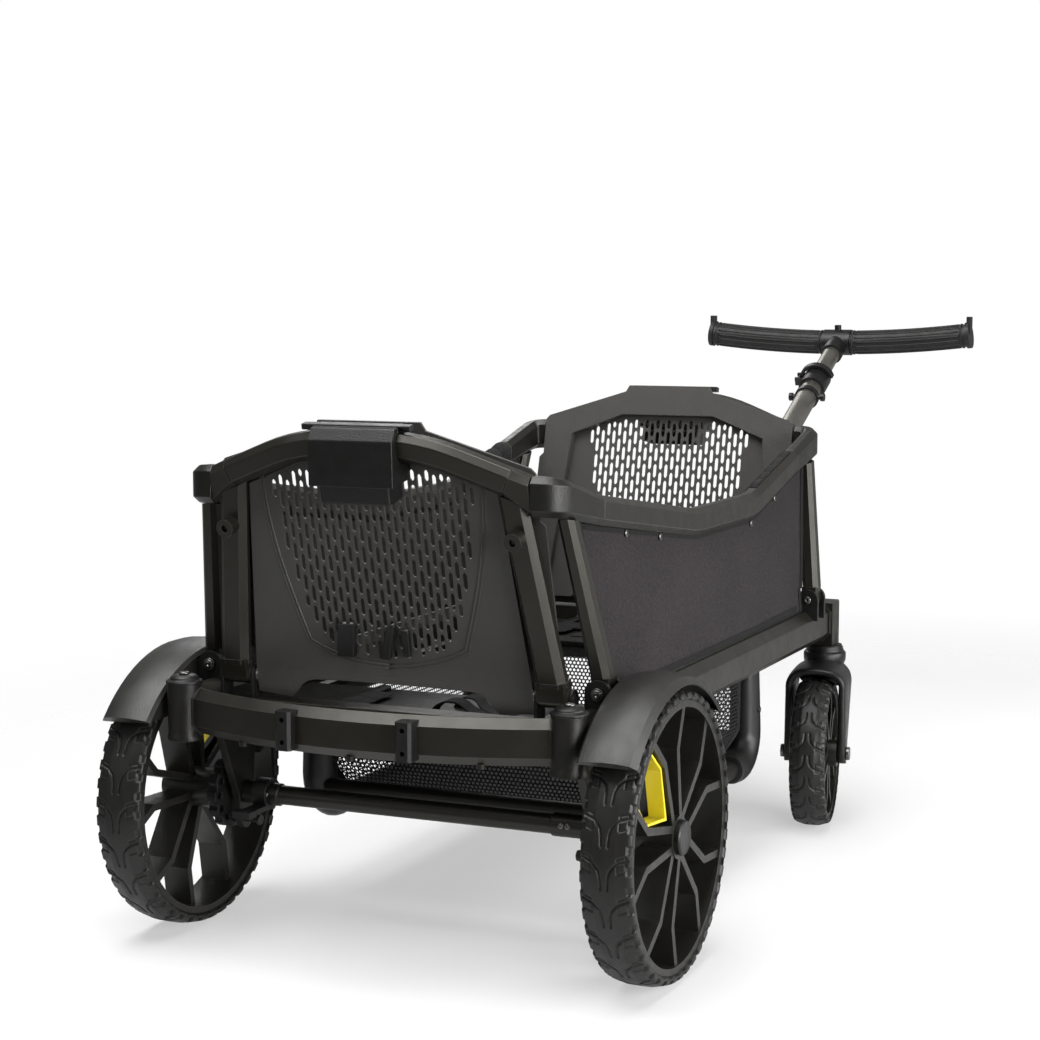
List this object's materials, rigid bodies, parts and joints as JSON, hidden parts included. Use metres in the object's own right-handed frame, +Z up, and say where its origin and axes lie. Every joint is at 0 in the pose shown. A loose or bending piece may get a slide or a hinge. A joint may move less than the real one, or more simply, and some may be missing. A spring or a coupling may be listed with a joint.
{
  "type": "stroller wagon",
  "caption": "Folding stroller wagon with grille end walls, cloth sides, a mesh footwell, large spoked rear wheels, swivel casters and a telescopic pull handle.",
  "frame": {"origin": "middle of the bounding box at ground level", "axes": "+X to the wagon's right, +Y forward towards the handle, +Z up"},
  "size_m": [0.642, 1.8993, 0.6876],
  "materials": {
    "frame_paint": "satin powder coat",
    "casting": "fine-textured moulding",
    "black_plastic": "fine-textured moulding",
    "panel_plastic": "leather-grain moulding",
    "dark_tube": "satin black paint",
    "handle_metal": "dark anodised",
    "mesh_cloth": "open mesh",
    "side_cloth": "heather weave",
    "webbing": "padded weave",
    "steel": "black oxide",
    "tyre": "moulded rubber",
    "rim_plastic": "satin moulding",
    "accent": "gloss",
    "grip": "ribbed soft rubber"
  },
  "bodies": {
    "frame": {"base_rails": "frame_paint", "rear_corners": "casting", "corner_caps": "black_plastic", "front_corners": "casting", "cross_members": "frame_paint", "rear_bumper": "frame_paint", "bumper_brackets": "black_plastic", "floor_decks": "panel_plastic", "footwell_frame": "dark_tube", "footwell_elbows": "casting", "footwell_bag": "mesh_cloth", "rear_axle": "dark_tube", "axle_hangers": "dark_tube", "fenders": "panel_plastic", "hinge_lugs": "black_plastic", "pivot_bolts": "steel", "handle_yoke": "black_plastic", "side_rails": "frame_paint", "side_castings": "casting", "side_posts": "frame_paint", "side_fabric": "side_cloth", "harness_pads": "webbing"},
    "handle": {"handle_tube": "handle_metal", "handle_collar": "black_plastic"},
    "clamp": {"clamp_lever": "black_plastic"},
    "upper_handle": {"upper_tube": "handle_metal", "tee_hub": "black_plastic", "handle_bar": "handle_metal", "grips": "grip"},
    "brake_pedal": {"brake_pedal": "black_plastic"},
    "rear_wheel_left": {"rear_tyre_left": "tyre", "rear_rim_left": "rim_plastic", "hub_cap_left": "black_plastic", "brake_ring_left": "black_plastic", "spoke_liner_left": "accent"},
    "caster_left": {"caster_fork_left": "black_plastic", "caster_bolt_left": "steel"},
    "front_wheel_left": {"front_tyre_left": "tyre", "front_rim_left": "rim_plastic"},
    "brake_pin_left": {"brake_pin_left": "steel"},
    "rear_wheel_right": {"rear_tyre_right": "tyre", "rear_rim_right": "rim_plastic", "hub_cap_right": "black_plastic", "brake_ring_right": "black_plastic", "spoke_liner_right": "accent"},
    "caster_right": {"caster_fork_right": "black_plastic", "caster_bolt_right": "steel"},
    "front_wheel_right": {"front_tyre_right": "tyre", "front_rim_right": "rim_plastic"},
    "brake_pin_right": {"brake_pin_right": "steel"},
    "rear_wall": {"rear_panel": "panel_plastic", "rear_posts": "frame_paint", "rear_top_rail": "frame_paint", "rear_latch_case": "black_plastic"},
    "rear_latch": {"rear_latch_paddle": "black_plastic"},
    "front_wall": {"front_panel": "panel_plastic", "front_posts": "frame_paint", "front_top_rail": "frame_paint", "front_latch_case": "black_plastic"},
    "front_latch": {"front_latch_paddle": "black_plastic"}
  },
  "joints": [
    {"name": "rear_wheel_left_spin", "type": "hinge", "parent": "frame", "child": "rear_wheel_left", "pos_m": [-0.2895, -0.78149, 0.158], "axis": [1, 0, 0], "continuous": true},
    {"name": "caster_left_swivel", "type": "hinge", "parent": "frame", "child": "caster_left", "pos_m": [-0.233, 0.04851, 0.25], "axis": [0, 0, 1], "continuous": true},
    {"name": "front_wheel_left_spin", "type": "hinge", "parent": "caster_left", "child": "front_wheel_left", "pos_m": [-0.21861, -0.04236, 0.1], "axis": [0.9877, 0.1564, 0], "continuous": true},
    {"name": "rear_wheel_right_spin", "type": "hinge", "parent": "frame", "child": "rear_wheel_right", "pos_m": [0.2895, -0.78149, 0.158], "axis": [1, 0, 0], "continuous": true},
    {"name": "caster_right_swivel", "type": "hinge", "parent": "frame", "child": "caster_right", "pos_m": [0.233, 0.04851, 0.25], "axis": [0, 0, 1], "continuous": true},
    {"name": "front_wheel_right_spin", "type": "hinge", "parent": "caster_right", "child": "front_wheel_right", "pos_m": [0.24739, -0.04236, 0.1], "axis": [0.9877, 0.1564, 0], "continuous": true},
    {"name": "handle_pivot", "type": "hinge", "parent": "frame", "child": "handle", "pos_m": [0, 0.12351, 0.266], "axis": [1, 0, 0], "range_deg": [-33, 54]},
    {"name": "handle_extend", "type": "slide", "parent": "handle", "child": "upper_handle", "axis": [0, 0.9063, 0.4226], "range_m": [-0.08, 0.22]},
    {"name": "clamp_lever_hinge", "type": "hinge", "parent": "handle", "child": "clamp", "pos_m": [-0.03, 0.78874, 0.5762], "axis": [0, -0.9063, -0.4226], "range_deg": [0, 110]},
    {"name": "rear_wall_fold", "type": "hinge", "parent": "frame", "child": "rear_wall", "pos_m": [0, -0.82841, 0.306], "axis": [-1, 0, 0], "range_deg": [0, 100]},
    {"name": "front_wall_fold", "type": "hinge", "parent": "frame", "child": "front_wall", "pos_m": [0, -0.01258, 0.306], "axis": [1, 0, 0], "range_deg": [0, 100]},
    {"name": "rear_latch_pull", "type": "slide", "parent": "rear_wall", "child": "rear_latch", "axis": [0, -0.2079, 0.9781], "range_m": [0, 0.01], "stiffness_N_per_m": 300, "springref_m": -0.005},
    {"name": "front_latch_pull", "type": "slide", "parent": "front_wall", "child": "front_latch", "axis": [0, 0.2079, 0.9781], "range_m": [0, 0.01], "stiffness_N_per_m": 300, "springref_m": -0.005},
    {"name": "brake_pedal_press", "type": "hinge", "parent": "frame", "child": "brake_pedal", "pos_m": [0, -0.78149, 0.158], "axis": [1, 0, 0], "range_deg": [0, 25]},
    {"name": "brake_pin_left_travel", "type": "slide", "parent": "frame", "child": "brake_pin_left", "axis": [-1, 0, 0], "range_m": [0, 0.0082]},
    {"name": "brake_pin_right_travel", "type": "slide", "parent": "frame", "child": "brake_pin_right", "axis": [1, 0, 0], "range_m": [0, 0.0082]}
  ],
  "couplings": [
    {"joint": "brake_pin_left_travel", "follows": "brake_pedal_press", "m_per_rad": 0.018335},
    {"joint": "brake_pin_right_travel", "follows": "brake_pedal_press", "m_per_rad": 0.018335}
  ]
}
